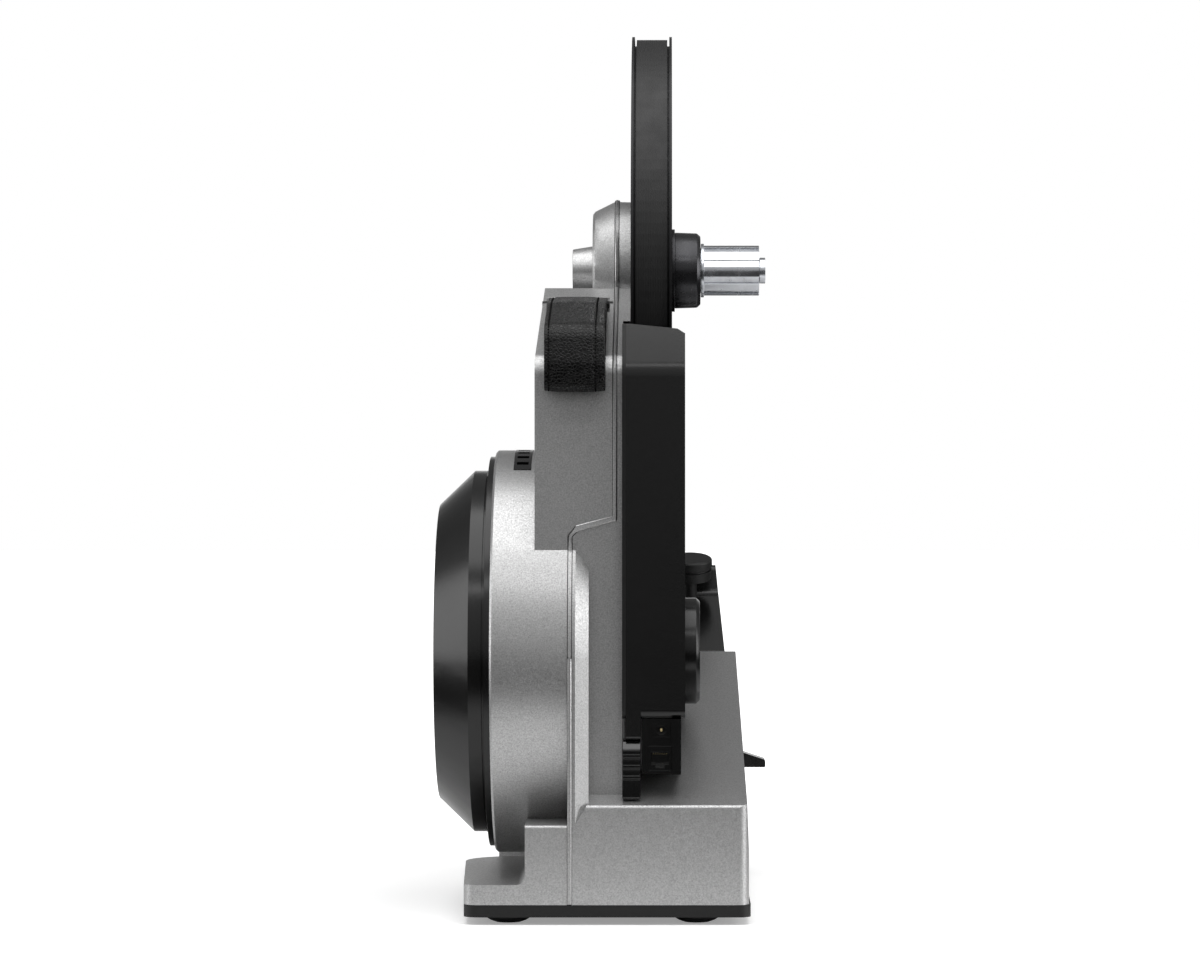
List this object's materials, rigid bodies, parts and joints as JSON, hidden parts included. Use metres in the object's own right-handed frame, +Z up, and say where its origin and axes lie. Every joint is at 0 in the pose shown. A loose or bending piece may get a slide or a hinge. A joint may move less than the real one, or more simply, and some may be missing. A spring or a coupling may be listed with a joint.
{
  "type": "direct drive bike trainer",
  "caption": "Indoor bike trainer with a splined hub and a big belt pulley over a silver casting, a covered flywheel drum, folding legs and a carrying strap.",
  "frame": {"origin": "centre of the bounding box, on the floor under the feet", "axes": "+X along the hub axle towards the splined hub, +Y towards the folded legs, +Z up"},
  "size_m": [0.228, 0.4388, 0.6012],
  "materials": {
    "silver_casting": "satin grey paint over cast metal",
    "silver_leg": "satin grey paint over cast metal",
    "black_cover": "fine grain, satin",
    "dark_flange": "satin",
    "black_port": "gloss",
    "black_clip": "satin",
    "floor_pan": "satin",
    "foot_rubber": "matte",
    "pin_steel": "brushed",
    "screw_steel": "satin",
    "bearing_steel": "polished",
    "axle_alloy": "satin",
    "copper_coil": "wound coils",
    "sensor_plastic": "satin",
    "board_green": "gloss",
    "belt_rubber": "ribbed, matte",
    "pulley_alloy": "dark satin",
    "collar_alloy": "black satin",
    "freehub_alloy": "satin",
    "flywheel_steel": "turned",
    "idler_alloy": "turned",
    "bush_brass": "satin",
    "grip_plastic": "satin",
    "strap_leather": "coarse grain, stitched"
  },
  "bodies": {
    "stand": {"left_shell": "silver_casting", "right_shell": "silver_casting", "flywheel_cover": "black_cover", "cover_flange_ring": "dark_flange", "drum_vent": "dark_flange", "cover_backplate": "dark_flange", "belt_cover": "black_cover", "pulley_cap": "black_cover", "port_block": "black_port", "dc_jack": "black_port", "data_socket": "black_port", "cable_clip": "black_clip", "base_plate": "floor_pan", "base_feet": "foot_rubber", "leg_carrier": "silver_casting", "carrier_cover": "black_cover", "hinge_pins": "pin_steel", "lever_pins": "pin_steel", "hub_axle": "axle_alloy", "left_end_cap": "axle_alloy", "right_end_cap": "axle_alloy", "shaft_bearings": "bearing_steel", "brake_stator": "copper_coil", "speed_sensor": "sensor_plastic", "control_board": "board_green", "tensioner_pin": "pin_steel", "drive_belt": "belt_rubber", "strap_pin": "pin_steel", "cover_screws": "screw_steel", "flywheel_cover_screws": "screw_steel", "base_plate_screws": "screw_steel", "carrier_screws": "screw_steel"},
    "pulley_set": {"big_pulley": "pulley_alloy", "pulley_bearings": "bearing_steel", "dust_ring": "bearing_steel", "drive_collar": "collar_alloy", "ratchet_ring": "bearing_steel"},
    "freehub_set": {"freehub": "freehub_alloy", "pawls": "bearing_steel", "freehub_bearings": "bearing_steel"},
    "flywheel_set": {"flywheel": "flywheel_steel", "flywheel_shaft": "pin_steel", "small_pulley": "pulley_alloy"},
    "tensioner_set": {"tensioner_arm": "pin_steel"},
    "idler_set": {"idler_roller": "idler_alloy"},
    "right_leg_set": {"right_leg": "silver_leg", "right_leg_bush": "bush_brass", "right_leg_pad": "foot_rubber"},
    "left_leg_set": {"left_leg": "silver_leg", "left_leg_bush": "bush_brass", "left_leg_pad": "foot_rubber"},
    "right_lever_set": {"right_lever": "grip_plastic"},
    "left_lever_set": {"left_lever": "grip_plastic"},
    "right_knob_set": {"right_knob": "grip_plastic"},
    "left_knob_set": {"left_knob": "grip_plastic"},
    "strap_set": {"strap_handle": "strap_leather"}
  },
  "joints": [
    {"name": "flywheel_spin", "type": "hinge", "parent": "stand", "child": "flywheel_set", "pos_m": [-0.05, -0.0685, 0.1745], "axis": [1, 0, 0], "continuous": true},
    {"name": "pulley_spin", "type": "hinge", "parent": "stand", "child": "pulley_set", "pos_m": [0.031, -0.0205, 0.4385], "axis": [1, 0, 0], "continuous": true},
    {"name": "freehub_coast", "type": "hinge", "parent": "pulley_set", "child": "freehub_set", "pos_m": [0.08, -0.0205, 0.4385], "axis": [1, 0, 0], "continuous": true},
    {"name": "tensioner_swing", "type": "hinge", "parent": "stand", "child": "tensioner_set", "pos_m": [0.017, -0.01613, 0.18214], "axis": [-1, 0, 0], "range_deg": [0, 4], "stiffness_Nm_per_rad": 8},
    {"name": "idler_spin", "type": "hinge", "parent": "tensioner_set", "child": "idler_set", "pos_m": [0.031, 0.01034, 0.21212], "axis": [1, 0, 0], "continuous": true},
    {"name": "right_leg_fold", "type": "hinge", "parent": "stand", "child": "right_leg_set", "pos_m": [0.0276, 0.1985, 0.088], "axis": [0, 1, 0], "range_deg": [0, 103]},
    {"name": "left_leg_fold", "type": "hinge", "parent": "stand", "child": "left_leg_set", "pos_m": [-0.0164, 0.1985, 0.088], "axis": [0, -1, 0], "range_deg": [0, 103]},
    {"name": "right_lever_lift", "type": "hinge", "parent": "stand", "child": "right_lever_set", "pos_m": [0.08, 0.1445, 0.086], "axis": [0, -1, 0], "range_deg": [0, 12], "stiffness_Nm_per_rad": 0.6},
    {"name": "left_lever_lift", "type": "hinge", "parent": "stand", "child": "left_lever_set", "pos_m": [-0.0688, 0.1445, 0.086], "axis": [0, 1, 0], "range_deg": [0, 12], "stiffness_Nm_per_rad": 0.6},
    {"name": "right_knob_turn", "type": "hinge", "parent": "stand", "child": "right_knob_set", "pos_m": [0.0586, 0.1395, 0.234], "axis": [0, -0.2588, 0.9659], "range_deg": [0, 180]},
    {"name": "left_knob_turn", "type": "hinge", "parent": "stand", "child": "left_knob_set", "pos_m": [-0.0474, 0.1395, 0.234], "axis": [0, -0.2588, 0.9659], "range_deg": [0, 180]},
    {"name": "strap_swing", "type": "hinge", "parent": "stand", "child": "strap_set", "pos_m": [-0.0189, -0.0965, 0.4116], "axis": [-1, 0, 0], "range_deg": [0, 80]}
  ],
  "couplings": [
    {"joint": "pulley_spin", "follows": "flywheel_spin", "ratio": 0.12516},
    {"joint": "idler_spin", "follows": "flywheel_spin", "ratio": -1.6073}
  ]
}
